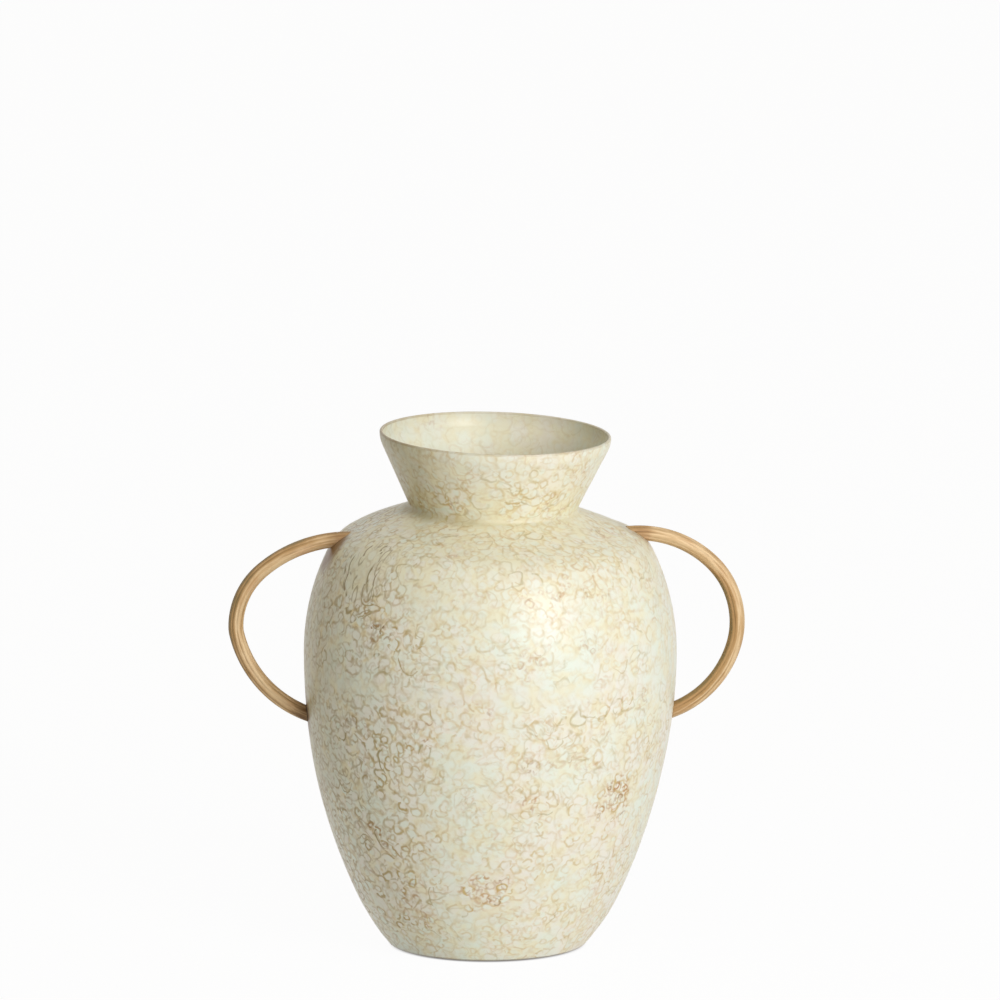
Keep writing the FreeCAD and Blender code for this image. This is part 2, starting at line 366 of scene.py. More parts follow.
def place_object(name, data):
    holder = bpy.data.objects.new(name, data)
    bpy.context.scene.collection.objects.link(holder)
    return holder


def make_object(name, points, edges, faces):
    mesh = bpy.data.meshes.new(name)
    mesh.from_pydata([tuple(p) for p in points], edges, faces)
    return place_object(name, mesh)


def set_input(modifier, name, value):
    """Sets one of a modifier's named inputs by its socket's identifier."""
    for item in modifier.node_group.interface.items_tree:
        if item.item_type == "SOCKET" and item.in_out == "INPUT" and item.name == name:
            modifier[item.identifier] = value
            return
    raise KeyError(name)


def add_inputs(tree, inputs):
    """Gives a tree its value inputs: (name, kind, value)."""
    for label, kind, value in inputs:
        socket = tree.interface.new_socket(label, in_out="INPUT", socket_type="NodeSocket" + kind)
        if value is not None:
            socket.default_value = value


def new_tree(name, inputs):
    """A geometry tree with a geometry input, value inputs and a geometry output."""
    tree = bpy.data.node_groups.new(name, "GeometryNodeTree")
    add_inputs(tree, [("Geometry", "Geometry", None), *inputs])
    tree.interface.new_socket("Geometry", in_out="OUTPUT", socket_type="NodeSocketGeometry")
    bench = Bench(tree)
    return tree, bench, bench.node("NodeGroupInput").outputs, bench.node("NodeGroupOutput").inputs[0]


def close_tree(bench, shape, given, result):
    """Ends a geometry tree: instances made real, then the finish."""
    real = bench.geo("RealizeInstances", {"Geometry": shape})
    bench.link(bench.geo("SetMaterial", {"Geometry": real, "Material": given["Finish"]}), result)


def lathe_tree():
    """Turns a closed section round the axis, with a slight unevenness drawn in from the true form."""
    tree, bench, given, result = new_tree("lathe", [
        ("Turns", "Int", lathe_steps),
        ("Unevenness", "Float", wall_unevenness),
        ("Wave Count", "Float", 16.0),
        ("Seed", "Float", 0.0),
        ("Finish", "Material", None),
    ])
    hub = 10 * MM
    section = bench.geo("MeshToCurve", {"Mesh": given["Geometry"]})
    inset = bench.geo("SetPosition", {"Geometry": section, "Offset": (-hub, 0, 0)})
    ring = bench.geo("CurvePrimitiveCircle", {"Resolution": given["Turns"], "Radius": hub})
    swept = bench.geo("CurveToMesh", {"Curve": ring, "Profile Curve": inset})
    place = bench.geo("InputPosition")
    wave = bench.noise(place, given["Wave Count"], detail=1.5)
    wave.noise_dimensions = "4D"
    bench.link(given["Seed"], wave.inputs["W"])
    depth = bench.times(wave.outputs[0], given["Unevenness"])
    outward = bench.vector("NORMALIZE", bench.vector("MULTIPLY", place, (1, 1, 0)))
    moved = bench.stretch(outward, bench.times(depth, -1.0))
    shaped = bench.geo("SetPosition", {"Geometry": swept, "Offset": moved})
    close_tree(bench, bench.geo("SetShadeSmooth", {"Geometry": shaped}), given, result)
    return tree


def plain_mesh(piece):
    """The piece's evaluated mesh, put back without its modifiers."""
    depsgraph = bpy.context.evaluated_depsgraph_get()
    made = bpy.data.meshes.new_from_object(piece.evaluated_get(depsgraph), depsgraph=depsgraph)
    made.name = piece.name
    piece.modifiers.clear()
    piece.data = made
    return piece


def grow(piece, label, tree, inputs):
    """Runs a geometry tree on a piece, which keeps the result as its plain mesh."""
    modifier = piece.modifiers.new(label, "NODES")
    modifier.node_group = tree
    for name, value in inputs.items():
        set_input(modifier, name, value)
    return plain_mesh(piece)


def recalculate(piece):
    """Merges doubles, turns every face outward and keeps the corners crisp."""
    work = bmesh.new()
    work.from_mesh(piece.data)
    bmesh.ops.remove_doubles(work, verts=work.verts, dist=0.001 * MM)
    bmesh.ops.recalc_face_normals(work, faces=work.faces)
    for edge in work.edges:
        if edge.calc_face_angle(0.0) > crisp_angle:
            edge.smooth = False
    work.to_mesh(piece.data)
    work.free()
    piece.data.update()


def turned(name, outline, tree, finish, seed, turns=lathe_steps, unevenness=wall_unevenness):
    """A piece turned from its section, closed or ending on the axis. The sweep takes heights downward."""
    count = len(outline)
    on_axis = outline[0][0] == 0
    edges = [(i, (i + 1) % count) for i in range(count - 1 if on_axis else count)]
    piece = make_object(name, [(p[0], -p[1], 0) for p in outline], edges, [])
    grow(piece, "lathe", tree, {"Turns": turns, "Unevenness": unevenness, "Seed": seed, "Finish": finish})
    recalculate(piece)
    return piece


def smooth_step(value, low, high):
    share = min(1.0, max(0.0, (value - low) / (high - low)))
    return share * share * (3 - 2 * share)


def leaned(point):
    """Where a point of the true round form stands on the hand-made one."""
    radius = math.hypot(point.x, point.y)
    from_joint = Vector((abs(point.x) - upper_joint[0], point.y, point.z - upper_joint[1])).length
    free = smooth_step(from_joint, joint_flat, joint_reach)
    turn = math.radians(lean_angle) * smooth_step(point.z, lean_starts, lean_ends) * free
    rise = point.z - lean_pivot_z
    x = point.x * math.cos(turn) + rise * math.sin(turn)
    z = lean_pivot_z + rise * math.cos(turn) - point.x * math.sin(turn)
    x += foot_shift * smooth_step(point.z, foot_shift_starts, foot_shift_ends)
    x += body_shift * smooth_step(point.z, body_shift_starts, body_shift_ends)
    if point.z > lean_starts:
        share = smooth_step(-radius, -neck_shift_starts, -neck_shift_ends) if point.z < lean_ends else 1.0
        x += neck_shift * share
        z -= neck_dip * share
    return Vector((x, point.y, z))


def lean(piece):
    for vertex in piece.data.vertices:
        vertex.co = leaned(vertex.co)
    piece.data.update()
    return piece


def handle_tree():
    """Sweeps a reeded rod along its centre line, thicker and thinner as it goes, its grooves wandering."""
    tree, bench, given, result = new_tree("reeded rod", [
        ("Rod Radius", "Float", rod_radius),
        ("Top Share", "Float", 1.0),
        ("Side Share", "Float", 1.0),
        ("Bottom Share", "Float", 1.0),
        ("Reed Count", "Int", reed_count),
        ("Reed Depth", "Float", reed_depth),
        ("Steps", "Int", rod_steps),
        ("Seed", "Float", 0.0),
        ("Finish", "Material", None),
    ])
    line = bench.geo("MeshToCurve", {"Mesh": given["Geometry"]})
    even = bench.geo("ResampleCurve", {"Curve": line, "Count": given["Steps"]})
    along = bench.geo("SplineParameter")
    lumps = bench.tone(bench.point(along, given["Seed"]), lump_rate, 2.0)
    upper = bench.fade(along, 0.0, 0.5, given["Top Share"], given["Side Share"])
    lower = bench.fade(along, 0.5, 1.0, 0.0, bench.minus(given["Bottom Share"], given["Side Share"]))
    lumpy = bench.scaled(lumps, lump_depth, -lump_depth / 2)
    thickness = bench.plus(bench.plus(upper, lower), lumpy)
    thick = bench.geo("SetCurveRadius", {"Curve": even, "Radius": thickness})
    carried = bench.node("GeometryNodeCaptureAttribute", {"Geometry": thick})
    carried.capture_items.new("FLOAT", "Along")
    bench.link(along, carried.inputs["Along"])
    points = bench.times(given["Reed Count"], points_per_reed)
    ring = bench.geo("CurvePrimitiveCircle", {"Resolution": points, "Radius": given["Rod Radius"]})
    around = bench.node("GeometryNodeCaptureAttribute", {"Geometry": ring})
    around.capture_items.new("FLOAT", "Around")
    bench.link(bench.geo("SplineParameter"), around.inputs["Around"])
    swept = bench.geo("CurveToMesh", {
        "Curve": carried.outputs["Geometry"], "Profile Curve": around.outputs["Geometry"], "Fill Caps": True,
    })
    length = carried.outputs["Along"]
    stretched = bench.point(bench.times(length, wander_rate), given["Seed"])
    wander = bench.scaled(bench.tone(stretched, 1.0, 3.0), wander_reach, -wander_reach / 2)
    turns = bench.times(around.outputs["Around"], given["Reed Count"])
    phase = bench.times(bench.plus(turns, wander), math.pi)
    ridge = bench.math("ABSOLUTE", bench.math("COSINE", phase))
    groove = bench.minus(1.0, ridge)
    which = bench.math("FLOOR", bench.plus(turns, wander))
    worn_place = bench.point(bench.times(length, wear_rate), bench.times(which, reed_apart), given["Seed"])
    wear_and_joint_shadow = bench.tone(worn_place, 1.0, 2.0)
    cut = bench.times(groove, bench.fade(wear_and_joint_shadow, 0.35, 0.65, shallowest_reed, 1.0))
    depth = bench.times(bench.times(cut, given["Reed Depth"]), -1.0)
    outward = bench.geo("InputNormal")
    moved = bench.stretch(outward, depth)
    shaped = bench.geo("SetPosition", {"Geometry": swept, "Offset": moved})
    for name, value in (("groove", cut), ("along", length), ("around", around.outputs["Around"])):
        inputs = {"Geometry": shaped, "Name": name, "Value": value}
        shaped = bench.geo("StoreNamedAttribute", inputs, data_type="FLOAT", domain="POINT")
    close_tree(bench, bench.geo("SetShadeSmooth", {"Geometry": shaped}), given, result)
    return tree


def bends(outermost, pair, way):
    """Points of two bends that run into each other, up or down from the outermost point."""
    (first_radius, first_turn), (second_radius, last_turn) = pair
    first_centre = outermost - Vector((first_radius, 0))
    second_centre = polar(first_centre, first_radius - second_radius, way * first_turn)
    points = arc(first_centre, first_radius, 0, way * first_turn, first_bend_steps)
    points += arc(second_centre, second_radius, way * first_turn, way * last_turn, second_bend_steps)[1:]
    return points


def body_filler():
    """The body as if it were solid, which trims the handles' ends to the wall."""
    top = crown_point(neck_radius, 0)
    outline = [Vector((0, top[1]))]
    outline += reversed(upper_arcs(0, top))
    outline += lower_arcs(0, 0)[1:]
    outline.append(Vector((0, foot_z)))
    return lean(turned("body_filler", outline, lathe, antique_gold, body_seed))


def make_handle(name, side, line, filler):
    """A reeded rod bent to an ear, with both ends cut to the leaning wall."""
    path = bends(line["outermost"], line["up"], 1)[::-1]
    path += bends(line["outermost"], line["down"], -1)[1:]
    edges = [(i, i + 1) for i in range(len(path) - 1)]
    piece = make_object(name, [(side * p[0], 0, p[1]) for p in path], edges, [])
    inputs = dict(zip(("Top Share", "Side Share", "Bottom Share"), line["thickness"]))
    inputs.update({"Seed": line["seed"], "Finish": antique_gold})
    grow(piece, "rod", rod, inputs)
    recalculate(piece)
    cut = piece.modifiers.new("wall", "BOOLEAN")
    cut.operation = "DIFFERENCE"
    cut.solver = "EXACT"
    cut.object = filler
    return plain_mesh(piece)


def coat_inside(shell):
    """Gives a shell's inner faces the base coat."""
    shell.data.materials.append(base_coat)
    middle = Vector((0, 0, belly_z))
    for face in shell.data.polygons:
        if face.normal.dot(face.center - middle) < 0:
            face.material_index = 1


def fibre_tree():
    """Short stray fibres all round the cut edge of a felt disc, kept between its two faces."""
    tree, bench, given, result = new_tree("felt edge fibres", [
        ("Fibre Length", "Float", 0.6 * MM),
        ("Fibre Radius", "Float", 0.025 * MM),
        ("Density", "Float", 5.0e6),
        ("Top", "Float", 2 * MM),
        ("Seed", "Int", 0),
        ("Finish", "Material", None),
    ])
    facing = bench.axes(bench.geo("InputNormal"))[2]
    steep = {0: bench.math("ABSOLUTE", facing), 1: 0.6}
    roots = bench.node("GeometryNodeDistributePointsOnFaces", {
        "Mesh": given["Geometry"],
        "Selection": bench.out("FunctionNodeCompare", steep, operation="LESS_THAN"),
        "Density": given["Density"],
        "Seed": given["Seed"],
    }).outputs
    tip = bench.point(0.0, 0.0, given["Fibre Length"])
    straight = bench.geo("CurvePrimitiveLine", {"End": tip})
    fine = bench.geo("ResampleCurve", {"Curve": straight, "Count": 5})
    share = bench.geo("SplineParameter")
    bow = bench.times(bench.times(share, share), bench.times(given["Fibre Length"], 0.5))
    bowed = bench.geo("SetPosition", {"Geometry": fine, "Offset": bench.point(bow)})
    profile = bench.geo("CurvePrimitiveCircle", {"Resolution": 3, "Radius": given["Fibre Radius"]})
    fibre = bench.geo("CurveToMesh", {"Curve": bowed, "Profile Curve": profile})
    tilt = bench.out("FunctionNodeRandomValue", {
        "Min": (-1.0, -1.0, 0.0), "Max": (1.0, 1.0, 2 * math.pi), "Seed": given["Seed"],
    }, data_type="FLOAT_VECTOR")
    inputs = {"Rotation": roots["Rotation"], "Rotate By": tilt}
    turn = bench.out("FunctionNodeRotateRotation", inputs, rotation_space="LOCAL")
    placed = bench.geo("InstanceOnPoints", {"Points": roots["Points"], "Instance": fibre, "Rotation": turn})
    real = bench.geo("RealizeInstances", {"Geometry": placed})
    axes = bench.axes(bench.geo("InputPosition"))
    kept = bench.math("MINIMUM", bench.most(axes[2], given["Fibre Radius"]), given["Top"])
    inside = bench.geo("SetPosition", {"Geometry": real, "Position": bench.point(axes[0], axes[1], kept)})
    both = bench.node("GeometryNodeJoinGeometry")
    bench.link(given["Geometry"], both.inputs[0])
    bench.link(inside, both.inputs[0])
    close_tree(bench, both.outputs[0], given, result)
    return tree


def make_pad(node, seed):
    """A felt disc with a soft cut edge, standing where its solid stands."""
    low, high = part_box(node)
    radius = (high.x - low.x) / 2
    rounding = high.z * pad_rounding
    outline = [Vector((0, low.z)), Vector((radius * 0.6, low.z))]
    outline += arc(Vector((radius - rounding, low.z + rounding)), rounding, -90, 0, pad_edge_steps)
    outline += arc(Vector((radius - rounding, high.z - rounding)), rounding, 0, 90, pad_edge_steps)
    outline += [Vector((radius * 0.6, high.z)), Vector((0, high.z))]
    pad = turned(node + "_finished", outline, lathe, pad_felt, seed, pad_steps, pad_unevenness)
    grow(pad, "fibres", fibres, {"Top": high.z, "Seed": int(seed), "Finish": pad_felt})
    for vertex in pad.data.vertices:
        vertex.co += Vector(((low.x + high.x) / 2, (low.y + high.y) / 2, 0))
    return pad


def shader_group(name, inputs, outputs):
    """A shader group with named inputs and outputs, and the bench that fills it."""
    group = bpy.data.node_groups.new(name, "ShaderNodeTree")
    add_inputs(group, inputs)
    for label, kind in outputs:
        group.interface.new_socket(label, in_out="OUTPUT", socket_type="NodeSocket" + kind)
    bench = Bench(group)
    return group, bench, bench.node("NodeGroupInput").outputs, bench.node("NodeGroupOutput").inputs


def loop_layer_group():
    """One layer of brushed loops: a cell of space holds one oval ring on the surface, often left open."""
    group, bench, given, results = shader_group("loop layer", [
        ("Place", "Vector", None),
        ("Facing", "Vector", None),
        ("Cell", "Float", 10 * MM),
        ("Length", "Float", 0.6),
        ("Line", "Float", 0.08),
        ("Waver", "Float", 0.45),
        ("Comb", "Vector", None),
        ("Seed", "Float", 0.0),
    ], [("Line", "Float"), ("Inside", "Float"), ("Pick", "Float")])
    shift = bench.point(given["Seed"], bench.times(given["Seed"], 2.3), bench.times(given["Seed"], 3.7))
    in_cells = bench.stretch(given["Place"], bench.math("DIVIDE", 1.0, given["Cell"]))
    place = bench.vector("ADD", in_cells, shift)
    waver = bench.vector("SUBTRACT", bench.noise(place, 1.7, 1.0).outputs["Color"], (0.5, 0.5, 0.5))
    place = bench.vector("ADD", place, bench.stretch(waver, given["Waver"]))
    cell = bench.node("ShaderNodeTexVoronoi", {"Vector": place, "Scale": 1.0}).outputs
    away = bench.vector("SUBTRACT", place, cell["Position"])
    height = bench.vector("DOT_PRODUCT", away, given["Facing"])
    flat = bench.vector("SUBTRACT", away, bench.stretch(given["Facing"], height))
    toward = bench.vector("ADD", bench.vector("SUBTRACT", cell["Color"], (0.5, 0.5, 0.5)), given["Comb"])
    long_way = bench.vector("NORMALIZE", bench.vector("CROSS_PRODUCT", given["Facing"], toward))
    short_way = bench.vector("CROSS_PRODUCT", given["Facing"], long_way)
    lot = bench.node("ShaderNodeTexWhiteNoise", {"Vector": cell["Position"]}).outputs
    shape = bench.axes(cell["Color"])
    stroke = bench.axes(lot["Color"])
    longer = bench.scaled(given["Length"], shape[0], 1.0)
    along = bench.math("DIVIDE", bench.vector("DOT_PRODUCT", flat, long_way), longer)
    across = bench.vector("DOT_PRODUCT", flat, short_way)
    squares = bench.plus(bench.times(along, along), bench.times(across, across))
    reach = bench.math("SQRT", squares)
    radius = bench.scaled(shape[1], 0.2, 0.18)
    off_line = bench.math("ABSOLUTE", bench.minus(reach, radius))
    ring = bench.fade(off_line, 0.0, given["Line"], 1.0, 0.0)
    way_round = bench.math("DIVIDE", across, bench.most(reach, 0.01))
    open_from = bench.scaled(stroke[0], -1.5, 0.1)
    drawn = bench.fade(way_round, open_from, bench.plus(open_from, 0.4))
    near = bench.fade(bench.math("ABSOLUTE", height), 0.4, 0.52, 1.0, 0.0)
    press = bench.scaled(bench.times(stroke[1], stroke[1]), 0.6, 0.4)
    line = bench.times(bench.times(ring, drawn), bench.times(near, press))
    bench.link(line, results["Line"])
    inner = bench.minus(radius, given["Line"])
    bench.link(bench.times(bench.fade(reach, inner, radius, 1.0, 0.0), near), results["Inside"])
    bench.link(stroke[2], results["Pick"])
    return group


def fine_grain_group():
    """Fine even grain for a painted, plated, moulded or pressed surface."""
    group, bench, given, results = shader_group("fine grain", [
        ("Place", "Vector", None),
        ("Size", "Float", 0.5 * MM),
        ("Seed", "Float", 0.0),
    ], [("Tone", "Float"), ("Height", "Float")])
    scale = bench.math("DIVIDE", 1.0, given["Size"])
    place = bench.vector("ADD", given["Place"], bench.point(given["Seed"]))
    grain = bench.tone(place, scale, 3.0, 0.6)
    broad = bench.tone(place, bench.times(scale, 0.08), 3.0)
    tone = bench.plus(bench.times(grain, 0.4), bench.times(broad, 0.6))
    bench.link(tone, results["Tone"])
    bench.link(grain, results["Height"])
    return group


def new_finish(name, roughness, metallic=0.0):
    """A material with its bench, its shader's inputs, and each place and normal in the object's own axes."""
    finish = bpy.data.materials.new(name)
    finish.use_nodes = True
    shader = finish.node_tree.nodes["Principled BSDF"]
    shader.inputs["Roughness"].default_value = roughness
    shader.inputs["Metallic"].default_value = metallic
    bench = Bench(finish.node_tree)
    coords = bench.node("ShaderNodeTexCoord").outputs
    return finish, bench, shader.inputs, coords["Object"], coords["Normal"]


def coat(bench, shader, colour, height, depth):
    """Gives a shader its colour and a bump of a real depth, from a height between 0 and 1."""
    bench.link(colour, shader["Base Color"])
    inputs = {"Height": height, "Distance": depth, "Strength": 1.0}
    bench.link(bench.out("ShaderNodeBump", inputs), shader["Normal"])


def grained(bench, shader, place, size, roughness_span=0.0, roughness_least=0.0):
    """Fine grain of a size. A span above zero lets its tone change the roughness."""
    grain = bench.node("ShaderNodeGroup", {"Place": place, "Size": size}, node_tree=fine_grain).outputs
    if roughness_span:
        bench.link(bench.scaled(grain["Tone"], roughness_span, roughness_least), shader["Roughness"])
    return grain


def make_cream_lacquer():
    """Cream lacquer under thin layers of tan loops, denser in clusters, with brown stains and painted shadow
    round the handles' ends and painted shade on the left side.
    """
    finish, bench, shader, place, facing = new_finish("cream lacquer", 0.36)
    shader["Specular IOR Level"].default_value = 0.4
    across, _, height = bench.axes(place)
    broad = bench.tone(place, 26.0, 3.0)
    mottle = bench.tone(place, 90.0, 2.0)
    colour = bench.mix(bench.fade(broad, 0.35, 0.65), cream_green, cream_pink)
    colour = bench.mix(bench.fade(mottle, 0.4, 0.66, 0.0, 0.75), colour, cream_yellow)
    collar_pale = bench.fade(height, yellow_full, collar_top_pale, 1.0, 0.3)
    yellowed = bench.times(bench.fade(height, yellow_from, yellow_full, 0.0, 0.85), collar_pale)
    colour = bench.mix(yellowed, colour, cream_yellow)
    calm_below = bench.fade(height, calm_band_z - calm_band_height, calm_band_z)
    calm_above = bench.fade(height, calm_band_z, calm_band_z + calm_band_height, 1.0, 0.0)
    busy = bench.scaled(bench.times(calm_below, calm_above), -0.6, 1.0)
    # Painted shade and light: the loops are drawn stronger toward the shaded left and fainter toward the lit
    # right
    busy = bench.times(busy, bench.fade(across, left_side_x, 0.0, 1.2, 0.6))
    on_collar = bench.times(bench.fade(height, collar_foot_z, yellow_full, 0.0, 0.5), collar_pale)
    busy = bench.times(busy, bench.plus(on_collar, 1.0))
    busy = bench.times(busy, bench.fade(height, yellow_full, collar_top_pale, 1.0, 0.75))
    turned_in = bench.vector("DOT_PRODUCT", facing, bench.vector("MULTIPLY", place, (-1.0, -1.0, 0.0)))
    mouth = bench.fade(turned_in, 0.0, 30 * MM)
    busy = bench.times(busy, bench.scaled(mouth, -0.65, 1.0))
    busy = bench.times(busy, bench.fade(broad, 0.4, 0.6, 0.75, 1.15))
    sway = bench.vector("SUBTRACT", bench.noise(place, 24.0, 1.0).outputs["Color"], (0.5, 0.5, 0.42))
    combed = bench.fade(bench.gap(place, combed_place), combed_core, combed_reach, 1.0, 0.0)
    along_strokes = bench.times(bench.vector("DOT_PRODUCT", place, combed_stroke), combed_squeeze)
    squeezed = bench.vector("SUBTRACT", place, bench.stretch(combed_stroke, along_strokes))
    sway = bench.vector("ADD", sway, bench.stretch(combed_way, combed))
    wide = bench.axes(bench.noise(place, 20.0, 2.0).outputs["Color"])
    tight = bench.axes(bench.noise(place, 42.0, 2.0).outputs["Color"])
    spot = 0.0
    for middle, reach in rust_spots:
        gap = bench.scaled(mottle, spot_ragged, bench.gap(place, middle))
        spot = bench.most(spot, bench.fade(gap, reach, reach + spot_fringe, 1.0, 0.0))
    busy = bench.most(busy, spot)
    busy = bench.times(busy, bench.scaled(combed, -0.6, 1.0))
    spotted = bench.most(bench.minus(tight[2], 0.04), bench.times(spot, 0.72))
    spreads = (*wide, tight[0], tight[1], spotted, combed)
    upward = bench.fade(height, small_loops_below, large_loops_above)
    smear = bench.fade(bench.tone(place, 150.0, 3.0, 0.55), 0.48, 0.7, 0.0, 0.6)
    colour = bench.mix(bench.times(smear, busy), colour, line_sand)
    colour = bench.mix(bench.times(spot, 0.3), colour, cream_peach)
    # Painted shade: toward the left side the loops' colour turns grey
    dull = bench.fade(across, left_side_x, -10 * MM, 0.55, 0.0)
    total = 0.0
    for number, layer in enumerate(loop_layers):
        push = bench.point(0.0, 0.0, bench.times(total, layer_push))
        made = bench.node("ShaderNodeGroup", {
            "Place": bench.vector("ADD", squeezed if layer["drawn_out"] else place, push),
            "Facing": facing,
            "Cell": layer["cell"],
            "Length": layer["length"],
            "Line": layer["line"] / layer["cell"],
            "Waver": layer["waver"],
            "Comb": bench.stretch(sway, layer["comb"]),
            "Seed": 5.3 * number,
        }, node_tree=loop_layer).outputs
        spread = spreads[layer["patch"]]
        where = bench.fade(spread, layer["rare"], layer["rare"] + patch_edge, layer["least"])
        where = bench.times(where, combed_press if layer["drawn_out"] else busy)
        where = bench.times(where, bench.scaled(upward, 1 - layer["low"], layer["low"]))
        tint = bench.mix(dull, bench.mix(made["Pick"], layer["pale"], layer["deep"]), line_grey)
        inside = bench.times(bench.times(made["Inside"], where), layer["fill"])
        colour = bench.mix(inside, colour, bench.mix(made["Pick"], cream_green, cream_pink))
        share = bench.math("MULTIPLY", bench.times(made["Line"], where), layer["strength"], clamp=True)
        colour = bench.mix(share, colour, tint)
        total = bench.most(total, share)
    level = bench.scaled(across, math.tan(math.radians(lean_angle)), height)
    ragged = bench.scaled(mottle, side_ragged, across)
    # Painted shade: olive darkening along the far left edge of the body, on the side away from the key lamp
    painted_edge_shade = bench.fade(ragged, -100 * MM, -70 * MM, 0.35, 0.0)
    colour = bench.mix(painted_edge_shade, colour, line_olive)
    shade_side = bench.fade(ragged, -50 * MM, -5 * MM, 0.45, 0.0)
    shade_side = bench.times(shade_side, bench.fade(height, collar_foot_z - 4 * MM, yellow_full))
    shade_side = bench.times(shade_side, bench.minus(1.0, mouth))
    colour = bench.mix(shade_side, colour, line_olive)
    worn_rim = bench.fade(level, rim_z - rim_wear, rim_z - rim_wear / 2)
    worn_rim = bench.times(worn_rim, bench.fade(across, -70 * MM, -20 * MM, 0.7, 0.3))
    worn_rim = bench.times(worn_rim, bench.fade(mottle, 0.3, 0.6, 0.5, 1.0))
    colour = bench.mix(worn_rim, colour, rim_brown)
    # Painted shade in the crease where the collar's foot meets the shoulder, stronger on the left
    off_foot = bench.math("ABSOLUTE", bench.minus(level, collar_foot_z))
    painted_shade = bench.fade(bench.scaled(mottle, 3 * MM, off_foot), 1.5 * MM, 5 * MM, 1.0, 0.0)
    painted_shade = bench.times(painted_shade, bench.fade(across, -50 * MM, 10 * MM, 0.65, 0.2))
    colour = bench.mix(painted_shade, colour, line_olive)
    # A darker brown band along the bottom edge of the foot
    colour = bench.mix(bench.fade(height, foot_dark_band / 2, foot_dark_band, 0.75, 0.0), colour, line_brown)
    # Brown stain and painted contact shadow on the wall round each handle's end, strongest at the left ends
    for joint, most, _, _ in joint_stains_and_shadows:
        gap = bench.gap(place, joint)
        stain_and_shadow = bench.fade(bench.scaled(mottle, -8 * MM, gap), stain_shadow_core, stain_shadow_reach, most, 0.0)
        colour = bench.mix(stain_and_shadow, colour, stain_shadow_brown)
    grain = grained(bench, shader, place, 1.2 * MM, 0.16, 0.28)
    relief = bench.scaled(total, 0.8, bench.times(grain["Height"], 0.2))
    coat(bench, shader, colour, relief, 0.06 * MM)
    return finish


def make_antique_gold():
    """Dull gold rubbed over brown: bright on the ridges, brown in the grooves, with brown stain and painted
    shadow by the wall and painted shade on the left-facing side.
    """
    finish, bench, shader, place, facing = new_finish("antique gold", 0.5, 0.1)
    shader["Specular IOR Level"].default_value = 0.35
    names = ("groove", "along", "around")
    marks = [bench.node("ShaderNodeAttribute", attribute_name=name).outputs["Fac"] for name in names]
    groove, along, around = marks
    turn = bench.times(around, 2 * math.pi)
    ring = [bench.times(bench.math(operation, turn), 1.6) for operation in ("COSINE", "SINE")]
    wrapped = bench.point(*ring, bench.times(along, 9.0))
    streak = bench.tone(wrapped, 1.6, 3.0, 0.55)
    patches = bench.tone(place, 60.0, 3.0)
    rubbed = bench.tone(place, 130.0, 3.0, 0.6)
    colour = bench.mix(bench.fade(streak, 0.3, 0.65), gold_deep, gold_pale)
    colour = bench.mix(bench.fade(patches, 0.5, 0.72, 0.0, 0.45), colour, gold_red)
    # Painted shade: the side of each rod that faces left, a little upward, away from the key lamp, is mixed
    # toward ochre and then olive, broken up by noise
    shaded_facing = bench.vector("DOT_PRODUCT", facing, (-0.95, 0.0, 0.3))
    shaded_facing = bench.plus(bench.minus(patches, 0.5), shaded_facing)
    axes = bench.axes(place)
    # The right rod's lower part is also mixed toward ochre
    low_right = bench.fade(axes[2], low_right_z, low_right_z + 25 * MM, 0.4, 0.0)
    low_right = bench.times(bench.fade(axes[0], 0.0, 100 * MM), low_right)
    brownish = bench.fade(bench.plus(shaded_facing, low_right), 0.05, 0.5, 0.0, 0.8)
    colour = bench.mix(brownish, colour, gold_ochre)
    painted_shade = bench.times(bench.fade(shaded_facing, 0.35, 0.75, 0.0, 0.9), bench.fade(rubbed, 0.3, 0.6, 0.5, 1.0))
    colour = bench.mix(painted_shade, colour, gold_olive)
    patina = bench.times(bench.fade(groove, 0.3, 1.0), bench.fade(streak, 0.3, 0.7, 0.55, 0.2))
    colour = bench.mix(patina, colour, gold_brown)
    # Brown stain and painted shadow on each rod near the wall, strongest at the left ends
    for _, _, joint, most in joint_stains_and_shadows:
        gap = bench.gap(place, joint)
        wear_and_joint_shadow = bench.fade(bench.scaled(streak, 14 * MM, gap), rod_stain_shadow_core, rod_stain_shadow_reach, most, 0.0)
        colour = bench.mix(wear_and_joint_shadow, colour, gold_brown)
    grained(bench, shader, place, 0.8 * MM, 0.15, 0.46)
    coat(bench, shader, colour, streak, 0.04 * MM)
    return finish


def make_base_coat():
    """Flat off-white primer with faint turning marks and thin places where metal shows grey."""
    finish, bench, shader, place, _ = new_finish("base coat", 0.7)
    axes = bench.axes(place)
    from_axis = bench.vector("LENGTH", bench.vector("MULTIPLY", place, (1, 1, 0)))
    marks = bench.tone(bench.point(from_axis, axes[2]), 900.0, 2.0)
    thin = bench.tone(place, 70.0, 4.0, 0.6)
    colour = bench.mix(marks, primer_dark, primer_pale)
    colour = bench.mix(bench.fade(thin, 0.6, 0.75, 0.0, 0.6), colour, primer_thin)
    grain = grained(bench, shader, place, 0.6 * MM, 0.25, 0.55)
    coat(bench, shader, colour, bench.plus(bench.times(marks, 0.5), grain["Height"]), 0.05 * MM)
    return finish


def make_steel():
    """Zinc-plated steel with a dull clouded sheen."""
    finish, bench, shader, place, _ = new_finish("plated steel", 0.4, 1.0)
    grain = grained(bench, shader, place, 0.4 * MM, 0.3, 0.22)
    colour = bench.mix(bench.fade(grain["Tone"], 0.35, 0.65), zinc_grey, zinc_blue)
    coat(bench, shader, colour, grain["Height"], 0.02 * MM)
    return finish


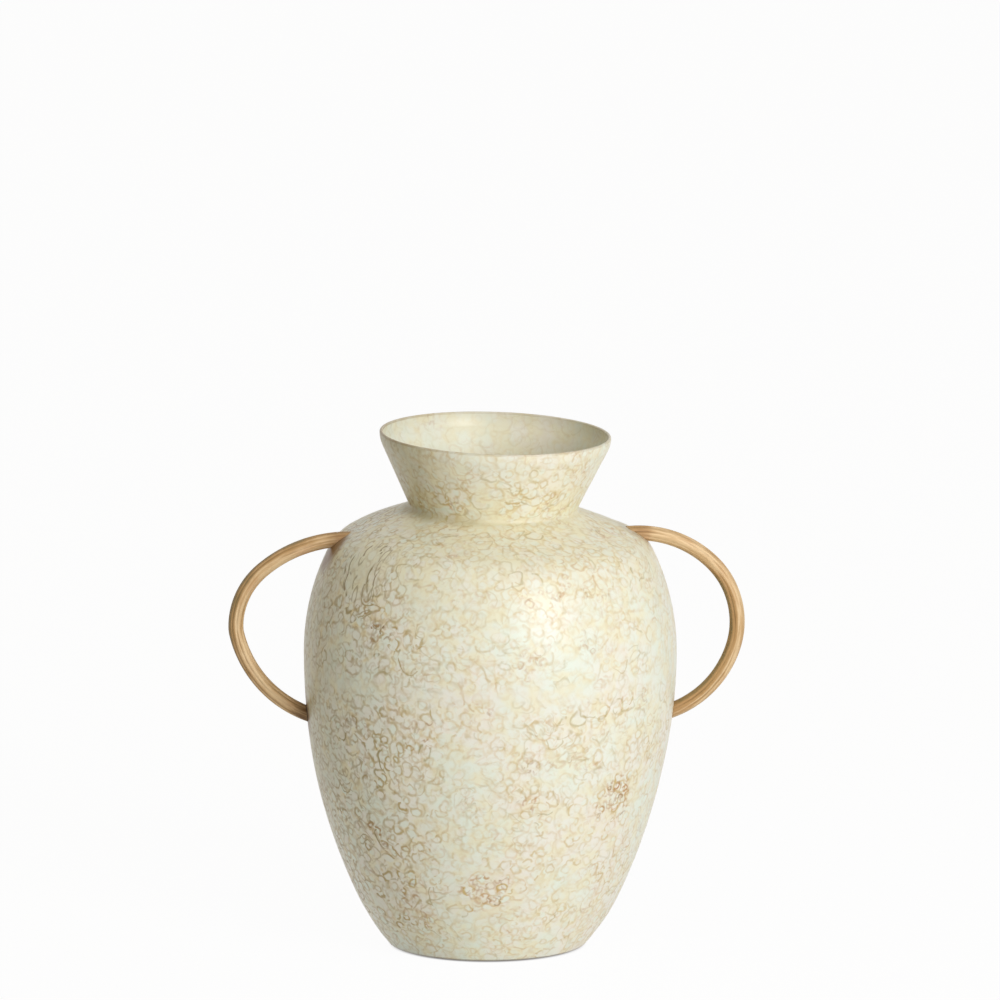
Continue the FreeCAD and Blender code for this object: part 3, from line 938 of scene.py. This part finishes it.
def make_rubber():
    """Soft black rubber, a little dusty."""
    finish, bench, shader, place, _ = new_finish("seal rubber", 0.8)
    grain = grained(bench, shader, place, 0.3 * MM, 0.2, 0.65)
    colour = bench.mix(bench.fade(grain["Tone"], 0.4, 0.7), rubber_black, rubber_dusty)
    coat(bench, shader, colour, grain["Height"], 0.03 * MM)
    return finish


def make_felt():
    """Pressed wool felt: tangled light and dark fibres."""
    finish, bench, shader, place, _ = new_finish("pad felt", 0.95)
    tangle = bench.tone(place, 900.0, 3.0, 0.6, 2.5)
    grain = grained(bench, shader, place, 0.25 * MM)
    colour = bench.mix(bench.fade(tangle, 0.35, 0.65), felt_dark, felt_pale)
    colour = bench.mix(bench.fade(grain["Tone"], 0.5, 0.7, 0.0, 0.4), colour, felt_brown)
    shader["Sheen Weight"].default_value = 0.4
    coat(bench, shader, colour, bench.plus(tangle, grain["Height"]), 0.12 * MM)
    return finish


def line_layer(cell, line, strength, pale, deep, **others):
    """One layer of loops: sizes in millimetres, then how strongly and in which colours it is drawn."""
    layer = {"cell": cell * MM, "line": line * MM, "strength": strength, "pale": pale, "deep": deep}
    layer.update({"length": 0.6, "comb": 0.0, "waver": 0.45, "drawn_out": False})
    layer.update({"patch": 0, "rare": 0.34, "least": 0.3, "fill": 0.0, "low": 1.0})
    layer.update(others)
    return layer


# Colours of the lacquer and its loops
cream_green = paint(235, 243, 230)
cream_pink = paint(242, 239, 228)
cream_yellow = paint(240, 235, 204)
cream_peach = paint(236, 220, 198)
line_tan = paint(202, 176, 114)
line_sand = paint(218, 198, 144)
line_olive = paint(168, 154, 96)
line_ochre = paint(200, 156, 94)
line_rust = paint(188, 142, 92)
line_umber = paint(156, 128, 90)
line_brown = paint(108, 80, 46)
line_grey = paint(142, 130, 98)
line_rose = paint(216, 186, 144)
stain_shadow_brown = paint(132, 94, 50)
rim_brown = paint(160, 132, 88)
gold_pale = paint(228, 200, 157)
gold_deep = paint(198, 162, 114)
gold_red = paint(204, 158, 118)
gold_ochre = paint(178, 137, 84)
gold_olive = paint(150, 130, 88)
gold_brown = paint(102, 70, 34)
primer_pale = paint(214, 207, 188)
primer_dark = paint(190, 182, 160)
primer_thin = paint(160, 156, 146)
zinc_grey = paint(186, 188, 186)
zinc_blue = paint(206, 210, 214)
rubber_black = paint(34, 34, 36)
rubber_dusty = paint(70, 68, 66)
felt_dark = paint(96, 90, 82)
felt_pale = paint(168, 160, 146)
felt_brown = paint(120, 96, 70)

# Where the lacquer changes: yellower to the top, a calm band above the belly, stains and painted shadow
# round the handles' ends
yellow_from = 190 * MM
yellow_full = 268 * MM
collar_top_pale = 293 * MM
small_loops_below = 50 * MM
large_loops_above = 150 * MM
calm_band_z = 169 * MM
calm_band_height = 9 * MM
layer_push = 0.4 * MM
patch_edge = 0.16
left_side_x = -90 * MM
side_ragged = 20 * MM
spot_ragged = 24 * MM
spot_fringe = 14 * MM
low_right_z = 200 * MM
stain_shadow_core = 4 * MM
stain_shadow_reach = 14 * MM
rod_stain_shadow_core = 8 * MM
rod_stain_shadow_reach = 19 * MM
rim_z = 304.85 * MM
rim_wear = 1.8 * MM
foot_dark_band = 2.2 * MM
collar_foot_z = 260.5 * MM
lower_joint = Vector((107.6 * MM, 138.4 * MM))

# Brown stain and painted shadow at each end of the handles: its middle on the wall and how strong it is
# there, then on the rod
left_upper_end = (-upper_joint[0], 0, upper_joint[1])
right_upper_end = (upper_joint[0], 0, upper_joint[1])
left_lower_end = (-lower_joint[0], 0, lower_joint[1])
right_lower_end = (lower_joint[0], 0, lower_joint[1])
joint_stains_and_shadows = (
    (at(-91, -5, 237), 0.9, left_upper_end, 0.35),
    (right_upper_end, 0.3, right_upper_end, 0.3),
    (left_lower_end, 0.85, left_lower_end, 0.95),
    (right_lower_end, 0.3, right_lower_end, 0.2),
)

# Middles and sizes of the clusters of small rust rings on the front
rust_spots = (
    (at(70, -73, 101), 22 * MM),
    (at(17, -101, 104), 14 * MM),
    (at(-6, -85, 46), 21 * MM),
    (at(-70, -81, 202), 16 * MM),
    (at(66, -82, 190), 12 * MM),
)

# Patch of long slanting strokes beside the left handle's upper end: its middle, the way the strokes run, the
# way square to them along the wall, how far they are drawn out, how strong they are, and the patch's size
combed_place = at(-75, -56, 235)
combed_stroke = (0.51, 0.27, 0.81)
combed_way = (0.58, -0.81, -0.1)
combed_squeeze = 0.6
combed_press = 1.2
combed_core = 12 * MM
combed_reach = 28 * MM

loop_layers = (
    line_layer(13, 1.5, 0.75, line_sand, line_tan, patch=0, fill=0.7, low=0.5, least=0.1),
    line_layer(11, 1.1, 0.9, line_tan, line_olive, patch=1, length=1.2, comb=4.0, fill=0.6, low=0.6),
    line_layer(9, 1.2, 0.7, line_sand, line_rose, patch=2, fill=0.7, low=1.2),
    line_layer(9, 1.1, 0.95, line_tan, line_ochre, patch=3, length=2.0, comb=4.0, rare=0.44, least=0.1),
    line_layer(7.5, 1.1, 0.85, line_sand, line_tan, patch=4, fill=0.7, least=0.3, low=1.4),
    line_layer(6.5, 1.1, 1.1, line_ochre, line_rust, patch=5, rare=0.52, least=0.0, low=0.9),
    line_layer(11, 0.8, 1.0, line_tan, line_olive, patch=1, length=3.0, comb=8.0, rare=0.46, least=0.1),
    line_layer(6, 0.9, 1.2, line_rust, line_umber, patch=5, rare=0.56, least=0.0, low=0.8),
    line_layer(
        5, 0.8, 1.15, line_olive, line_umber,
        patch=6, length=1.0, comb=8.0, rare=0.4, least=0.0, drawn_out=True, waver=0.15,
    ),
)

loop_layer = loop_layer_group()
fine_grain = fine_grain_group()
cream_lacquer = make_cream_lacquer()
antique_gold = make_antique_gold()
base_coat = make_base_coat()
plated_steel = make_steel()
seal_rubber = make_rubber()
pad_felt = make_felt()
lathe = lathe_tree()
rod = handle_tree()
fibres = fibre_tree()
body_seed = 1.0
collar_seed = 3.0
finished = []
for node, outline, seed in (
    ("shoulder_shell", shoulder_outline(), body_seed),
    ("bowl_shell", bowl_outline(), body_seed),
    ("neck_collar", collar_outline(), collar_seed),
):
    shell = lean(turned(node + "_finished", outline, lathe, cream_lacquer, seed))
    finished.append((shell, node, "cream_lacquer"))
filler = body_filler()
for node, side, line in (("left_handle", -1, left_handle_line), ("right_handle", 1, right_handle_line)):
    finished.append((make_handle(node + "_finished", side, line, filler), node, "antique_gold"))
bpy.data.objects.remove(filler)
for shell, _, _ in finished[:2]:
    coat_inside(shell)
for number in range(1, 5):
    pad_node = "felt_pad_" + str(number)
    finished.append((make_pad(pad_node, 10.0 + number), pad_node, "pad_felt"))
for piece, node, slot in finished:
    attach(piece, "root")
    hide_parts(node)

finishes = {
    "cream_lacquer": cream_lacquer,
    "antique_gold": antique_gold,
    "base_coat": base_coat,
    "screw_steel": plated_steel,
    "seal_rubber": seal_rubber,
    "pad_felt": pad_felt,
}
for node in nodes.values():
    for material_slot in node.material_slots:
        material_slot.material = finishes[material_slot.material.name.split(".")[0]]

# Camera: far off, looking slightly down, turned a little to the left handle's side
image_size = 1000
image_scale = 0.5877 * MM
view_azimuth = -3.8
view_elevation = 11.05
view_distance = 15.0
foot_pixel = (487.6, 942.0)


def make_camera():
    azimuth = math.radians(view_azimuth)
    elevation = math.radians(view_elevation)
    right = Vector((math.cos(azimuth), math.sin(azimuth), 0))
    back = Vector((
        math.sin(azimuth) * math.cos(elevation),
        -math.cos(azimuth) * math.cos(elevation),
        math.sin(elevation),
    ))
    up = back.cross(right)
    target = right * (image_size / 2 - foot_pixel[0]) * image_scale
    target += up * (foot_pixel[1] - image_size / 2) * image_scale
    camera = place_object("camera", bpy.data.cameras.new("camera"))
    camera.data.lens = camera.data.sensor_width * view_distance / (image_scale * image_size)
    camera.data.clip_end = 100
    camera.location = target + back * view_distance
    camera.rotation_euler = back.to_track_quat("Z", "Y").to_euler()
    bpy.context.scene.camera = camera


def area_lamp(name, place, aim, width, height, power, colour=(1, 1, 1)):
    lamp = bpy.data.lights.new(name, "AREA")
    lamp.shape = "RECTANGLE"
    lamp.size = width
    lamp.size_y = height
    lamp.energy = power
    lamp.color = colour
    holder = place_object(name, lamp)
    holder.location = place
    holder.rotation_euler = (Vector(place) - Vector(aim)).to_track_quat("Z", "Y").to_euler()
    holder.visible_camera = False
    return holder


def straight_rays(bench):
    """1 for rays from the camera and through gloss or glass, 0 for light."""
    path = bench.node("ShaderNodeLightPath").outputs
    return bench.most(bench.most(path["Is Camera Ray"], path["Is Glossy Ray"]), path["Is Transmission Ray"])


def make_world(strength, fill_colour):
    """Soft warm light all round; straight rays, gloss and glass see plain white."""
    world = bpy.data.worlds.new("studio")
    world.use_nodes = True
    bpy.context.scene.world = world
    bench = Bench(world.node_tree)
    background = world.node_tree.nodes["Background"]
    seen = straight_rays(bench)
    level = bench.out("ShaderNodeMapRange", {"Value": seen, "To Min": strength, "To Max": 1.0})
    bench.link(bench.mix(seen, fill_colour, (1, 1, 1, 1)), background.inputs["Color"])
    bench.link(level, background.inputs["Strength"])


def make_floor():
    """A wide pale floor that keeps a faint shadow and reads as white to the camera."""
    half = 6.0
    foot_radius = edge_centre[0]
    corners = [(-half, -half, 0), (half, -half, 0), (half, half, 0), (-half, half, 0)]
    floor = make_object("floor", corners, [], [(0, 1, 2, 3)])
    finish, bench, shader, place, _ = new_finish("pale floor", 0.9)
    shader["Base Color"].default_value = paint(240, 240, 240)
    glow = bench.out("ShaderNodeEmission", {"Color": (1, 1, 1, 1), "Strength": 1.0})
    away = bench.vector("LENGTH", place)
    clear = bench.fade(away, foot_radius - 3 * MM, foot_radius + 2 * MM, 0.2, 0.965)
    matt = finish.node_tree.nodes["Principled BSDF"].outputs[0]
    mixed = bench.out("ShaderNodeMixShader", {0: bench.times(straight_rays(bench), clear), 1: matt, 2: glow})
    bench.link(mixed, finish.node_tree.nodes["Material Output"].inputs["Surface"])
    floor.data.materials.append(finish)


make_camera()
make_world(0.3, (1.0, 0.9, 0.7, 1.0))
make_floor()
area_lamp("key", (1.5, -2.5, 1.3), (0, 0, 0.16), 1.4, 1.4, 60, (1.0, 1.0, 1.04))
area_lamp("top", (-0.3, -0.6, 2.5), (0, 0, 0.16), 1.4, 1.4, 5)
bpy.context.scene.view_settings.view_transform = "Standard"
